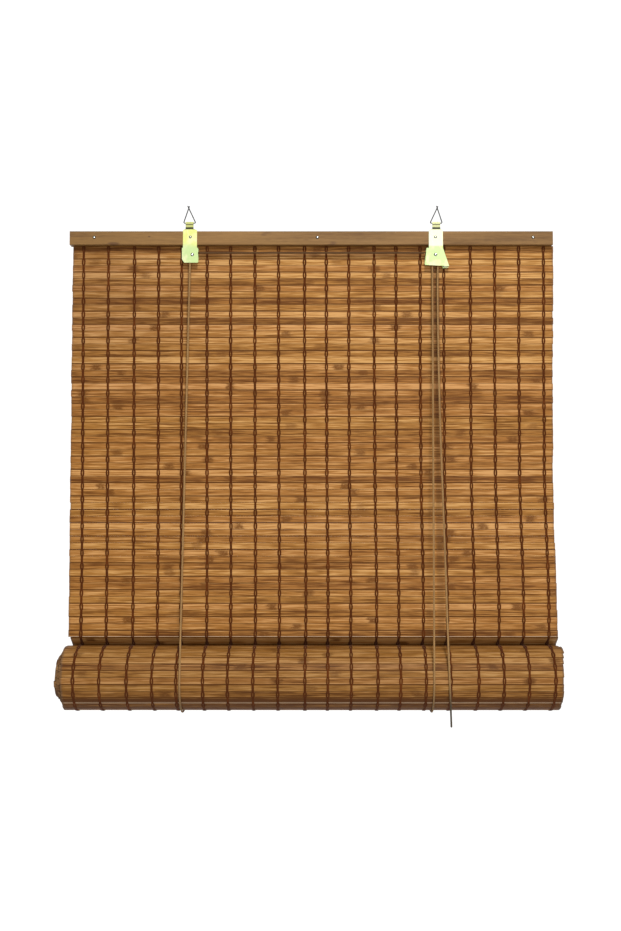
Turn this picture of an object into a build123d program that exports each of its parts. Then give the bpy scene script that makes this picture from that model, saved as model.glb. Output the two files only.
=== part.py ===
from build123d import *
import math
import os

# A roll-up bamboo blind, hung from two wire rings and partly rolled up.
# Millimetres. +X right, +Y away from the room, +Z up.
# The origin is midway between the two places where the rings hang.

# Screen: flat slats tied together by rows of warp yarn
screen_width = 796.0
screen_shift = -1.7  # the screen's middle from the middle of the rings
slat_pitch = 10.94
slat_gap = 0.4
slat_thickness = 2.4
slat_edge_radius = 0.5
slats_in_rail = 2
slats_hanging = 59
yarn_thickness = 0.8
yarn_width = 2.4
yarn_clearance = 0.02
yarn_first_row = 19.7  # from the screen's left edge
yarn_last_margin = 10.0  # the least from the last row to the screen's right edge
yarn_row_pitch = 40.2
yarn_row_drift = (0, 1, 4, 4, 2, 4, 3, 3, 2, 5, 1, -2, 0, -4, -4, -5, -1, -1, -1, 0)

# Roll: one strip of slats, wound up behind, below and in front of its own axis
roll_radius = 53.0  # to the middle of the strip where the screen first touches the roll
roll_drop = 64.3  # from the fold in the screen down to the roll's axis
roll_forward = 4.0  # the roll's axis in front of the hanging screen
slats_rolled = 138
fold_clearance = 0.1
roll_inset_left = 0.7  # the roll's outer turn inside the screen's edges
roll_inset_right = 0.3
roll_end_bulge = 14.0  # how far the inner turns stand out past the outer one, on the left
roll_end_rim = 47.0  # the radius where the bulge starts
roll_end_inner = 30.0  # the radius where the bulge is complete

# Head rail: two wooden slats nailed together with the screen's top between them
rail_overhang_left = 3.0  # past the screen's edges
rail_overhang_right = 1.0
rail_top = -37.6
rail_height = 22.6
rail_front_thickness = 8.0
rail_rear_thickness = 4.0
rail_edge_radius = 0.8
rail_nail_inset_left = 40.7  # from the rail's ends to the outer nails
rail_nail_inset_right = 32.8
rail_middle_nail = 7.3
rail_nail_radius = 1.1
rail_nail_head_radius = 2.7
rail_nail_head_height = 1.6
nail_clearance = 0.02
nail_cover = 0.5  # wood left behind a nail's point

# Bottom bar: the wooden bar on the screen's last two slats, at the core of the roll
bottom_bar_width = 20.0
bottom_bar_thickness = 8.0

# Brackets: folded sheet steel
sheet = 1.2
bracket_plate_width = 23.2
bracket_top = -33.8
bracket_shoulder = 2.5
bracket_waist = -65.8  # where the plate becomes the pulley housing
bracket_neck_x = 204.2
bracket_plate_x = 203.4
neck_width = 13.0
bracket_nail_x = 202.8
bracket_nail_z = -47.7
bracket_nail_radius = 0.9
bracket_nail_head_radius = 2.3
bracket_nail_head_height = 1.0
bracket_nail_length = 7.0  # in the wood

# Pulley housings
housing_depth = 5.9  # between the two plates of a housing
left_housing = (-216.5, -190.0)
left_housing_bottom = -90.6
left_housing_chamfer = 6.0
right_housing_top = (188.0, 215.0)
right_housing_bottom = (185.0, 225.0)
right_housing_left_z = -94.4
right_housing_right_z = -96.2
rear_plate_lift = 3.0  # the rear plates end this much above the front ones

# Pulleys and their pins
axle_x = (-199.4, 202.8)
axle_z = -77.1
axle_radius = 1.2
axle_clearance = 0.05
pulley_radius = 4.4
pulley_groove_floor = 1.9  # the radius left at the bottom of the groove
pulley_groove_clearance = 0.5  # between the groove's wall and the cord
pulley_side_gap = 0.35
pin_head_radius = 2.8
pin_head_height = 1.3
pin_rear_head_radius = 2.2
pin_rear_head_height = 0.6
pin_hole_clearance = 0.02

# Lock roller: a loose roller that wedges the pull cord against the right pulley
roller_radius = 4.0
roller_clearance = 0.05
roller_lip_z = -97.05
roller_lip = (214.5, 222.5)

# Cord
cord_diameter = 3.0
cord_gap = 0.9  # between the cord and the plain roll, where the yarn is
tail_split_z = -85.0
knot_radius = 2.6
knot_x = 197.7
knot_lip_z = -92.0
knot_lip = (190.5, 203.0)
knot_hole_clearance = 0.4

# Rear cord eyes
eye_wire_radius = 0.8
eye_ring_radius = 3.6
eye_standoff = 1.2
eye_x = (-203.0, 189.0)
rear_cord_z = -49.0
rear_corner_radius = 6.0
eye_bite = 3.4  # how deep the eye's shank sits in the rear rail

# Hanging rings: bent wire triangles with crossed ends
ring_wire_radius = 0.9
ring_clearance = 0.08
ring_base_half = 10.2
ring_corner_radius = 1.6
ring_place_x = 206.0
ring_cross_z = 1.5
ring_cross_offset = 1.0
ring_end_length = 3.5
ring_base_z = -24.0

# The pull cord's free tail, from the lock down to its end
pull_cord_route = (
    (206.7, 1.97, -85.0),
    (206.7, 1.97, -97.5),
    (206.0, 0.6, -118.0),
    (205.4, -3.0, -162.0),
    (205.3, -9.2, -240.0),
    (206.2, -18.9, -360.0),
    (208.9, -28.5, -480.0),
    (211.5, -37.9, -600.0),
    (213.2, -45.6, -700.0),
    (215.3, -50.6, -771.0),
    (217.1, -50.9, -840.0),
)

# Places worked out from the sizes above. The rings hang in the plane y = 0.
eye_inner_radius = ring_wire_radius + ring_clearance
plate_front = -(eye_inner_radius + sheet)
plate_back = plate_front + sheet
screen_front = plate_back + rail_front_thickness
screen_thickness = slat_thickness + 2 * yarn_thickness
screen_left = screen_shift - screen_width / 2
screen_right = screen_left + screen_width
screen_y = screen_front + screen_thickness / 2
screen_back = screen_front + screen_thickness
rail_left = screen_left - rail_overhang_left
rail_right = screen_right + rail_overhang_right
rail_nail_places = (
    rail_left + rail_nail_inset_left,
    rail_middle_nail,
    rail_right - rail_nail_inset_right,
)
rail_bottom = rail_top - rail_height
housing_rear = plate_back + housing_depth
cord_y = plate_back + housing_depth / 2
slat_height = slat_pitch - slat_gap
slat_count = slats_in_rail + slats_hanging
screen_top = rail_bottom + slats_in_rail * slat_pitch
fold_z = rail_bottom - slats_hanging * slat_pitch
roll_y = screen_y - roll_forward
roll_z = fold_z - roll_drop
roll_left = screen_left + roll_inset_left
roll_length = screen_width - roll_inset_left - roll_inset_right
layer_pitch = screen_thickness
pulley_groove_radius = cord_diameter / 2 + pulley_groove_clearance
cord_on_pulley = pulley_groove_floor + pulley_groove_radius  # from the axis to the cord's middle
knot_hole_radius = cord_diameter / 2 + knot_hole_clearance


def box(x, y, z):
    """A box between two values on each axis."""
    size = (x[1] - x[0], y[1] - y[0], z[1] - z[0])
    return Pos(*(sum(pair) / 2 for pair in (x, y, z))) * Box(*size)


def plate(outline, y):
    """A plate from y[0] to y[1] whose outline is given as (x, z) points."""
    wire = Polyline(*((px, y[0], pz) for px, pz in outline), close=True)
    return extrude(make_face(wire), y[1] - y[0], dir=(0, 1, 0))


def rod(x, z, radius, y):
    """A round rod along Y from y[0] to y[1]."""
    return Pos(x, sum(y) / 2, z) * Rot(90, 0, 0) * Cylinder(radius, y[1] - y[0])


def dome(x, z, radius, height, y):
    """A domed head in front of the plane at y."""
    sphere_radius = (radius**2 + height**2) / (2 * height)
    ball = Pos(x, y - height + sphere_radius, z) * Sphere(sphere_radius)
    return ball & box((x - radius, x + radius), (y - height, y), (z - radius, z + radius))


def tube(path, radius):
    """A round bar along a path."""
    return sweep(Plane(origin=path @ 0, z_dir=path % 0) * Circle(radius), path=path)


def spaced_bends(points):
    """The radius for each corner of a loosely hanging cord."""
    radii = []
    for a, b, c in zip(points, points[1:], points[2:]):
        before = Vector(*b) - Vector(*a)
        after = Vector(*c) - Vector(*b)
        turn = math.radians(before.get_angle(after))
        radii.append(0.45 * min(before.length, after.length) / math.tan(turn / 2))
    return radii


# Screen
def slat(index):
    """One slat of the flat screen, counted from the top."""
    top = screen_top - index * slat_pitch - slat_gap / 2
    half = slat_thickness / 2
    bar = box(
        (screen_left, screen_right),
        (screen_y - half, screen_y + half),
        (top - slat_height, top),
    )
    bar = fillet(bar.edges().filter_by(Axis.X), slat_edge_radius)
    if index < slats_in_rail:
        for place in rail_nail_places:
            bar -= rail_nail_hole(place)
    return bar


def yarn_rows():
    """The middle of each row of yarn. Rows past the last drift given are evenly spaced."""
    room = screen_width - yarn_first_row - yarn_last_margin
    count = int(room // yarn_row_pitch) + 1
    drift = yarn_row_drift + (0,) * count
    return [screen_left + yarn_first_row + i * yarn_row_pitch + drift[i] for i in range(count)]


def warp_yarn(x):
    """The front and rear strands of one row, joined between the slats."""
    half = slat_thickness / 2 + yarn_clearance
    ladder = Rectangle(screen_thickness, screen_top - fold_z)
    ladder = Pos(screen_y, (screen_top + fold_z) / 2) * ladder
    height = slat_height + 2 * yarn_clearance
    holes = []
    for index in range(slat_count):
        middle = screen_top - (index + 0.5) * slat_pitch
        holes.append(Pos(screen_y, middle) * Rectangle(2 * half, height))
    ladder -= holes
    return extrude(Plane.YZ.offset(x - yarn_width / 2) * ladder, yarn_width)


# Roll
def spiral_point(turned, start):
    """A point of the strip's middle line, turned radians after the start angle."""
    radius = roll_radius - layer_pitch * turned / (2 * math.pi)
    angle = start + turned
    return roll_y + radius * math.sin(angle), roll_z + radius * math.cos(angle)


def next_turned(point, turned, start, length):
    """Where on the spiral the next slat ends, by halving an interval."""
    low = turned
    high = turned + 1.6
    for _ in range(50):
        middle = (low + high) / 2
        if math.dist(point, spiral_point(middle, start)) < length:
            low = middle
        else:
            high = middle
    return low


def roll_line():
    """The (y, z) corners of the strip from the fold inwards, one slat between two."""
    fold = (screen_y, fold_z)
    distance = math.hypot(roll_forward, roll_drop)
    run = math.sqrt(distance**2 - roll_radius**2)
    start = math.atan2(roll_forward, roll_drop) + math.acos(roll_radius / distance)
    touch = spiral_point(0, start)
    direction = ((touch[0] - fold[0]) / run, (touch[1] - fold[1]) / run)
    straight = int(run // slat_pitch)
    tilt = math.atan2(direction[0], -direction[1])
    setback = slat_thickness / 2 * math.tan(tilt) + fold_clearance / math.cos(tilt)
    steps = [setback] + [slat_pitch * (i + 1) for i in range(straight)]
    points = [(fold[0] + direction[0] * s, fold[1] + direction[1] * s) for s in steps]
    turned = 0.0
    for _ in range(slats_rolled - straight):
        turned = next_turned(points[-1], turned, start, slat_pitch)
        points.append(spiral_point(turned, start))
    turned = next_turned(points[-1], turned, start, 2 * slat_pitch)
    points.append(spiral_point(turned, start))
    return points


def strip_side(points, offset):
    """The points moved sideways by the offset, with mitred corners."""
    normals = []
    for (ay, az), (by, bz) in zip(points, points[1:]):
        length = math.hypot(by - ay, bz - az)
        normals.append(((bz - az) / length, (ay - by) / length))
    before = [normals[0]] + normals
    after = normals + [normals[-1]]
    moved = []
    for (y, z), first, second in zip(points, before, after):
        share = offset / (1 + first[0] * second[0] + first[1] * second[1])
        moved.append((y + share * (first[0] + second[0]), z + share * (first[1] + second[1])))
    return moved


def roll_envelope():
    """A turned body whose two ends follow the stepped ends of the roll."""
    outer = roll_radius + roll_drop
    step = (
        (0, roll_end_bulge),
        (roll_end_inner, roll_end_bulge),
        (roll_end_rim, 0),
        (outer, 0),
    )
    left = [(roll_left - bulge, radius) for radius, bulge in step]
    right = [(x + roll_length, radius) for x, radius in reversed(left)]
    outline = [(x, roll_y, roll_z + radius) for x, radius in left + right]
    axis = Axis((0, roll_y, roll_z), (1, 0, 0))
    return revolve(make_face(Polyline(*outline, close=True)), axis, 360)


def bamboo_roll():
    line = roll_line()
    half = slat_thickness / 2
    edge = strip_side(line, half) + list(reversed(strip_side(line, -half)))
    start = roll_left - roll_end_bulge - 1
    face = make_face(Polyline(*((start, y, z) for y, z in edge), close=True))
    length = roll_length + roll_end_bulge + 2
    return extrude(face, length, dir=(1, 0, 0)) & roll_envelope()


def bottom_bar():
    """The bar lies flat on the inner side of the strip's last two slats."""
    (ay, az), (by, bz) = roll_line()[-2:]
    tilt = math.degrees(math.atan2(bz - az, by - ay))
    inward = Vector(0, bz - az, ay - by).normalized()
    middle = Vector(roll_left - roll_end_bulge + roll_length / 2, (ay + by) / 2, (az + bz) / 2)
    if inward.dot(Vector(middle.X, roll_y, roll_z) - middle) < 0:
        inward = -inward
    centre = middle + inward * (slat_thickness + bottom_bar_thickness) / 2
    bar = Box(roll_length, bottom_bar_width, bottom_bar_thickness)
    bar = fillet(bar.edges().filter_by(Axis.X), rail_edge_radius)
    return Pos(*centre) * Rot(tilt, 0, 0) * bar


# Head rail
def rail_nail_hole(x):
    nail_z = (rail_top + rail_bottom) / 2 + 1
    end = screen_back + rail_rear_thickness - nail_cover
    return rod(x, nail_z, rail_nail_radius + nail_clearance, (plate_back - 1, end))


def rail_nail(x):
    nail_z = (rail_top + rail_bottom) / 2 + 1
    end = screen_back + rail_rear_thickness - nail_cover
    shank = rod(x, nail_z, rail_nail_radius, (plate_back, end))
    return shank + dome(x, nail_z, rail_nail_head_radius, rail_nail_head_height, plate_back)


def bracket_nail(x):
    shank = rod(
        x, bracket_nail_z, bracket_nail_radius, (plate_front, plate_back + bracket_nail_length)
    )
    head = dome(
        x, bracket_nail_z, bracket_nail_head_radius, bracket_nail_head_height, plate_front
    )
    return shank + head


def bracket_nail_hole(x):
    end = plate_back + bracket_nail_length
    radius = bracket_nail_radius + nail_clearance
    return rod(x, bracket_nail_z, radius, (plate_front - 1, end))


def rail_slat(y):
    bar = box((rail_left, rail_right), y, (rail_bottom, rail_top))
    bar = fillet(bar.edges().filter_by(Axis.X), rail_edge_radius)
    for place in rail_nail_places:
        bar -= rail_nail_hole(place)
    return bar


def front_rail_slat():
    bar = rail_slat((plate_back, screen_front))
    for side in (-1, 1):
        bar -= bracket_nail_hole(side * bracket_nail_x)
    return bar


def rear_rail_slat():
    bar = rail_slat((screen_back, screen_back + rail_rear_thickness))
    for x in eye_x:
        bar -= eye_shank(x, nail_clearance)
    return bar


# Brackets
def hanger_plate(side):
    """The upper plate with its shoulders, neck and the eye rolled round the ring."""
    middle = side * bracket_plate_x
    half = bracket_plate_width / 2
    neck = side * bracket_neck_x
    half_neck = neck_width / 2
    outline = (
        (middle - half, bracket_waist),
        (middle - half, bracket_top - bracket_shoulder),
        (neck - half_neck, bracket_top),
        (neck - half_neck, ring_base_z),
        (neck + half_neck, ring_base_z),
        (neck + half_neck, bracket_top),
        (middle + half, bracket_top - bracket_shoulder),
        (middle + half, bracket_waist),
    )
    body = plate(outline, (plate_front, plate_back))
    eye = Pos(neck, 0, ring_base_z) * Rot(0, 90, 0)
    body += eye * Cylinder(eye_inner_radius + sheet, neck_width)
    body -= eye * Cylinder(eye_inner_radius, neck_width + 2)
    slit_z = ring_base_z - eye_inner_radius - sheet / 2
    slit = (plate_back, plate_back + sheet / 3)
    return body - box((neck - neck_width, neck + neck_width), slit, (slit_z - sheet, slit_z + sheet))


def axle_holes(x):
    radius = axle_radius + pin_hole_clearance
    return rod(x, axle_z, radius, (plate_front - 1, housing_rear + sheet + 1))


def left_bracket():
    x0, x1 = left_housing
    bottom = left_housing_bottom
    chamfer_z = bottom + left_housing_chamfer
    chamfer_x = x0 + left_housing_chamfer * 0.6
    front = (
        (x0, bracket_waist),
        (x0, chamfer_z),
        (chamfer_x, bottom),
        (x1, bottom),
        (x1, bracket_waist),
    )
    rear_bottom = bottom + rear_plate_lift
    body = hanger_plate(-1) + plate(front, (plate_front, plate_back))
    body += box((x0, x0 + sheet), (plate_front, housing_rear + sheet), (chamfer_z, bracket_waist))
    rear = (
        (x0, bracket_waist),
        (x0, chamfer_z),
        (chamfer_x, rear_bottom),
        (x1, rear_bottom),
        (x1, bracket_waist),
    )
    body += plate(rear, (housing_rear, housing_rear + sheet))
    return body - bracket_nail_hole(-bracket_nail_x) - axle_holes(axle_x[0])


def slanted_wall():
    """(a point of the wall's outer face at its top, the way down it, the way inwards)."""
    top = Vector(right_housing_top[1], 0, bracket_waist)
    low = Vector(right_housing_bottom[1], 0, right_housing_right_z)
    down = (low - top).normalized()
    return top, down, Vector(down.Z, 0, -down.X)


def right_bracket():
    top_left, top_right = right_housing_top
    low_left, low_right = right_housing_bottom
    front = (
        (top_left, bracket_waist),
        (low_left, right_housing_left_z),
        (low_right, right_housing_right_z),
        (top_right, bracket_waist),
    )
    body = hanger_plate(1) + plate(front, (plate_front, plate_back))
    rear_y = (housing_rear, housing_rear + sheet)
    rear = (
        (top_left, bracket_waist),
        (low_left, right_housing_left_z + rear_plate_lift),
        (roller_lip[0], right_housing_left_z + rear_plate_lift),
        (roller_lip[0], roller_lip_z - sheet),
        (roller_lip[1], roller_lip_z - sheet),
        (low_right, right_housing_right_z),
        (top_right, bracket_waist),
    )
    body += plate(rear, rear_y)
    top, down, inward = slanted_wall()
    length = (bracket_waist - right_housing_right_z) / -down.Z
    wall = [top, top + down * length, top + down * length + inward * sheet, top + inward * sheet]
    body += plate([(p.X, p.Z) for p in wall], (plate_front, housing_rear + sheet))
    lip_z = (roller_lip_z - sheet, roller_lip_z)
    body += box(roller_lip, (cord_y - 1, housing_rear + sheet), lip_z)
    tie_z = (knot_lip_z - sheet, knot_lip_z)
    tie = box(knot_lip, (plate_front, housing_rear - 1), tie_z)
    tie -= Pos(knot_x, cord_y, knot_lip_z) * Cylinder(knot_hole_radius, 4 * sheet)
    body += tie
    return body - bracket_nail_hole(bracket_nail_x) - axle_holes(axle_x[1])


def axle_pin(x):
    pin = rod(x, axle_z, axle_radius, (plate_front, housing_rear + sheet))
    pin += dome(x, axle_z, pin_head_radius, pin_head_height, plate_front)
    rear = housing_rear + sheet
    return pin + rod(x, axle_z, pin_rear_head_radius, (rear, rear + pin_rear_head_height))


def pulley(x):
    side = housing_depth / 2 - pulley_side_gap
    wheel = rod(x, axle_z, pulley_radius, (cord_y - side, cord_y + side))
    groove = Pos(x, cord_y, axle_z) * Rot(90, 0, 0) * Torus(cord_on_pulley, pulley_groove_radius)
    wheel -= groove
    return wheel - rod(x, axle_z, axle_radius + axle_clearance, (cord_y - 9, cord_y + 9))


def roller_place():
    """The middle of the lock roller at rest, on the lip and beside the slanted wall."""
    top, down, inward = slanted_wall()
    start = top + inward * (sheet + roller_radius + roller_clearance)
    height = roller_lip_z + roller_radius + roller_clearance
    return start + down * ((start.Z - height) / -down.Z)


def lock_roller():
    place = roller_place()
    side = housing_depth / 2 - pulley_side_gap
    return rod(place.X, place.Z, roller_radius, (cord_y - side, cord_y + side))


# Hanging rings
def hanging_ring(side):
    base = side * bracket_neck_x
    place = side * ring_place_x
    right = Vector(base + ring_base_half, 0, ring_base_z)
    left = Vector(base - ring_base_half, 0, ring_base_z)
    ends = []
    for corner, y in ((right, -ring_cross_offset), (left, ring_cross_offset)):
        cross = Vector(place, y, ring_cross_z)
        ends.append(cross + (cross - corner).normalized() * ring_end_length)
    path = FilletPolyline(ends[0], right, left, ends[1], radius=ring_corner_radius)
    return tube(path, ring_wire_radius)


# Cord eyes on the back of the rail
def eye_middle(x):
    back = screen_back + rail_rear_thickness
    return x, back + eye_standoff + eye_ring_radius + eye_wire_radius, rear_cord_z + 1.2


def eye_shank(x, extra):
    _, y, z = eye_middle(x)
    start = screen_back + rail_rear_thickness - eye_bite
    return rod(x, z, eye_wire_radius + extra, (start, y - eye_ring_radius))


def rear_cord_eye(x):
    ring = Pos(*eye_middle(x)) * Rot(0, 90, 0) * Torus(eye_ring_radius, eye_wire_radius)
    return ring + eye_shank(x, 0)


# Cord
def sling(front, low_front, low_rear, rear):
    """The corners of the cord under the roll, between the front and rear strands.

    front and rear are the (x, y, z) tops of the two strands, and low_front and
    low_rear are the x of the cord where it meets and leaves the roll.
    """
    radius = roll_radius + slat_thickness / 2 + cord_gap
    centre = (roll_y + layer_pitch / 4, roll_z)
    angles = []
    for (_, y, z), sign in ((front, -1), (rear, 1)):
        out = (y - centre[0]) * sign
        up = z - centre[1]
        around = math.acos(radius / math.hypot(out, up))
        angles.append(math.atan2(up, out) - around)
    turn = (math.pi + angles[0] + angles[1]) / 4
    corners = []
    for i in range(4):
        angle = math.pi - angles[0] + (i + 0.5) * turn
        reach = radius / math.cos(turn / 2)
        x = low_front + (low_rear - low_front) * (i + 0.5) / 4
        corners.append(
            (x, centre[0] + reach * math.cos(angle), centre[1] + reach * math.sin(angle))
        )
    return corners, 0.96 * radius


def lift_cord():
    """One cord: over both pulleys, under the roll twice and across behind the rail."""
    over = axle_z + cord_on_pulley
    left = axle_x[0] - cord_on_pulley
    right = axle_x[1] + cord_on_pulley
    rear_y = eye_middle(0)[1]
    knot_z = knot_lip_z + 2.0
    rear_left = (-209.6, rear_y, rear_cord_z)
    rear_right = (195.6, rear_y, rear_cord_z)
    left_front = (left, cord_y, over)
    right_front = (knot_x, cord_y, knot_z)
    left_sling, sling_radius = sling(left_front, -210.8, -209.8, rear_left)
    right_sling, _ = sling(right_front, 190.6, 192.4, rear_right)
    points = [(right, cord_y, tail_split_z), (right, cord_y, over), left_front]
    radii = [cord_on_pulley, cord_on_pulley]
    points += left_sling
    radii += [sling_radius] * 4
    points += [rear_left, rear_right]
    radii += [rear_corner_radius] * 2
    points += list(reversed(right_sling))
    radii += [sling_radius] * 4
    points.append(right_front)
    path = FilletPolyline(*points, radius=radii)
    print("lift cord: length", round(path.length), "radii", [round(r, 1) for r in radii])
    return tube(path, cord_diameter / 2) + Pos(*right_front) * Sphere(knot_radius)


def pull_cord():
    radii = spaced_bends(pull_cord_route)
    path = FilletPolyline(*pull_cord_route, radius=radii)
    print("pull cord: length", round(path.length), "radii", [round(r) for r in radii])
    return tube(path, cord_diameter / 2)


def main():
    os.makedirs("parts", exist_ok=True)
    nodes = {
        "front_rail_slat": front_rail_slat(),
        "rear_rail_slat": rear_rail_slat(),
        "rail_nails": Compound([rail_nail(x).solid() for x in rail_nail_places]),
        "left_bracket": left_bracket(),
        "left_bracket_nail": bracket_nail(-bracket_nail_x),
        "left_pulley": pulley(axle_x[0]),
        "left_pulley_pin": axle_pin(axle_x[0]),
        "left_hanging_ring": hanging_ring(-1),
        "right_bracket": right_bracket(),
        "right_bracket_nail": bracket_nail(bracket_nail_x),
        "right_pulley": pulley(axle_x[1]),
        "right_pulley_pin": axle_pin(axle_x[1]),
        "right_hanging_ring": hanging_ring(1),
        "lock_roller": lock_roller(),
        "left_rear_eye": rear_cord_eye(eye_x[0]),
        "right_rear_eye": rear_cord_eye(eye_x[1]),
        "lift_cord": lift_cord(),
        "pull_cord": pull_cord(),
        "warp_yarns": Compound([warp_yarn(x).solid() for x in yarn_rows()]),
        "bamboo_roll": bamboo_roll(),
        "bottom_bar": bottom_bar(),
    }
    for first in range(0, slat_count, 2):
        pair = [slat(i).solid() for i in range(first, min(first + 2, slat_count))]
        nodes[f"slat_pair_{first // 2 + 1:02d}"] = Compound(pair)
    for name, shape in nodes.items():
        export_step(shape, f"parts/{name}.step")


main()
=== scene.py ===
import math
import random

import bmesh
import bpy
from bpy.props import FloatProperty, FloatVectorProperty, IntProperty, PointerProperty
from mathutils import Matrix, Vector


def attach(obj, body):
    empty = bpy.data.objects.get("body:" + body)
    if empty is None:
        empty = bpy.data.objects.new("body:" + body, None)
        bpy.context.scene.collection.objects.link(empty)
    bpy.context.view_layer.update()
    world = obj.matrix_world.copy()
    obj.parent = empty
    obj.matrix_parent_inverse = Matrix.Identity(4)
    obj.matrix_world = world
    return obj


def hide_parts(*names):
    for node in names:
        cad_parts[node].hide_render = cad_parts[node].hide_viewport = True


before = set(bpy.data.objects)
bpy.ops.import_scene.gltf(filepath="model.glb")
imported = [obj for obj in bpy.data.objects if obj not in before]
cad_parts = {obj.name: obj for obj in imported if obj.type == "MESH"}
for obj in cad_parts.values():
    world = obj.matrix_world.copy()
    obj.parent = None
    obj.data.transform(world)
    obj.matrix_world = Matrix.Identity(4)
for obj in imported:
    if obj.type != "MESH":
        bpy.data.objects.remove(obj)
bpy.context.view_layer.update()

bl_info = {
    "name": "Bamboo roll-up blind",
    "version": (1, 0, 0),
    "blender": (4, 5, 0),
    "location": "View3D > Sidebar > Blind",
    "description": "Builds the slats, yarn, cords and fittings of a part-rolled bamboo blind",
    "category": "Object",
}

# Where the pull cord hangs, from the lock down to its free end
PULL_CORD_ROUTE = (
    (0.2067, 0.00197, -0.085),
    (0.2067, 0.00197, -0.0975),
    (0.206, 0.0006, -0.118),
    (0.2054, -0.003, -0.162),
    (0.2053, -0.0092, -0.24),
    (0.2062, -0.0189, -0.36),
    (0.2089, -0.0285, -0.48),
    (0.2115, -0.0379, -0.6),
    (0.2132, -0.0456, -0.7),
    (0.2153, -0.0506, -0.771),
    (0.2171, -0.0509, -0.84),
)

# The lift cord: over both pulleys, under the roll twice and across behind the rail
LIFT_CORD_ROUTE = (
    (0.2067, 0.00197, -0.085),
    (0.2067, 0.00197, -0.0732),
    (0.1949, 0.00197, -0.0732),
    (0.1765, 0.00197, -0.0732),
    (-0.1730, 0.00197, -0.0732),
    (-0.1915, 0.00197, -0.0732),
    (-0.2033, 0.00197, -0.0732),
    (-0.2034, 0.00112, -0.0850),
    (-0.2036, -0.0007, -0.1100),
    (-0.2102, -0.04728, -0.7420),
    (-0.21068, -0.05068, -0.78973),
    (-0.21043, -0.01833, -0.82485),
    (-0.21018, 0.02942, -0.82526),
    (-0.20993, 0.06237, -0.7907),
    (-0.20991, 0.0597, -0.7430),
    (-0.2097, 0.0216, -0.0660),
    (-0.2096, 0.02062, -0.0490),
    (-0.1925, 0.02062, -0.0490),
    (0.1785, 0.02062, -0.0490),
    (0.1956, 0.02062, -0.0490),
    (0.1955, 0.0216, -0.0660),
    (0.1924, 0.0597, -0.7430),
    (0.19218, 0.06238, -0.79072),
    (0.19172, 0.02939, -0.82528),
    (0.19128, -0.01839, -0.82483),
    (0.19082, -0.05072, -0.78965),
    (0.1913, -0.0471, -0.7420),
    (0.1975, 0.0005, -0.1080),
    (0.1977, 0.00197, -0.0900),
)

# The stopper knot's strand, from the end of the lift cord
KNOT_TURNS = (
    (0, 0, 0.003),
    (0.0019, 0, 0.001),
    (0, 0.0019, 0),
    (-0.0019, 0, -0.001),
    (0, -0.0019, 0.0012),
    (0.0019, 0.00057, 0.0008),
    (0.00038, 0.0019, -0.0012),
    (-0.0019, 0.0002, 0.0006),
    (-0.00057, -0.0019, -0.0006),
    (0.00247, -0.00171, 0.0024),
)

# How far the right edge of the screen wanders, as (height, distance)
RIGHT_EDGE = (
    (-0.06, 0.0028),
    (-0.14, 0.0022),
    (-0.24, 0.0),
    (-0.37, -0.0011),
    (-0.44, -0.0023),
    (-0.51, -0.0014),
    (-0.60, 0.0014),
    (-0.67, 0.0024),
    (-0.70, 0.0020),
    (-0.90, 0.0),
)

# How far each row of yarn stands from its even place, in millimetres
ROW_DRIFT = (0, 1, 4, 4, 2, 4, 3, 3, 2, 5, 1, -2, 0, -4, -4, -5, -1, -1, -1, 0)

# How far the rows of yarn lean sideways, as (height, distance)
ROW_LEAN = (
    (-0.04, -0.0008),
    (-0.22, 0.0),
    (-0.36, 0.0009),
    (-0.50, 0.0018),
    (-0.60, 0.0021),
    (-0.70, 0.0018),
    (-0.74, 0.0008),
    (-0.90, 0.0008),
)

# Painted shadows of the cords on the screen: upper end, slope, half width, depth of shade
CORD_SHADOWS = (
    (-0.2050, -0.0190, 0.0012, 0.55),
    (0.2032, 0.0107, 0.0044, 0.85),
)


class SlatSettings(bpy.types.PropertyGroup):
    """The flat screen's slats"""

    left: FloatProperty(
        name="Left edge", description="The screen's left edge", default=-0.3987, unit="LENGTH"
    )
    width: FloatProperty(
        name="Width", description="Length of a slat", default=0.7952, unit="LENGTH"
    )
    pitch: FloatProperty(
        name="Pitch", description="From one slat to the next", default=0.01094, unit="LENGTH"
    )
    gap: FloatProperty(
        name="Gap", description="Between two slats", default=0.00003, unit="LENGTH"
    )
    thickness: FloatProperty(
        name="Thickness", description="Thickness of a slat", default=0.0024, unit="LENGTH"
    )
    edge: FloatProperty(
        name="Edge", description="Rounding of a slat's long edges", default=0.00065, unit="LENGTH"
    )
    flat: IntProperty(
        name="Flat slats", description="Slats above the fold, with those in the rail", default=61
    )
    top: FloatProperty(
        name="Top", description="The screen's upper edge", default=-0.03832, unit="LENGTH"
    )
    depth: FloatProperty(
        name="Depth", description="The screen's middle plane", default=0.00902, unit="LENGTH"
    )
    wander: FloatProperty(
        name="End wander", description="How unevenly slats end", default=0.0004, unit="LENGTH"
    )


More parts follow.
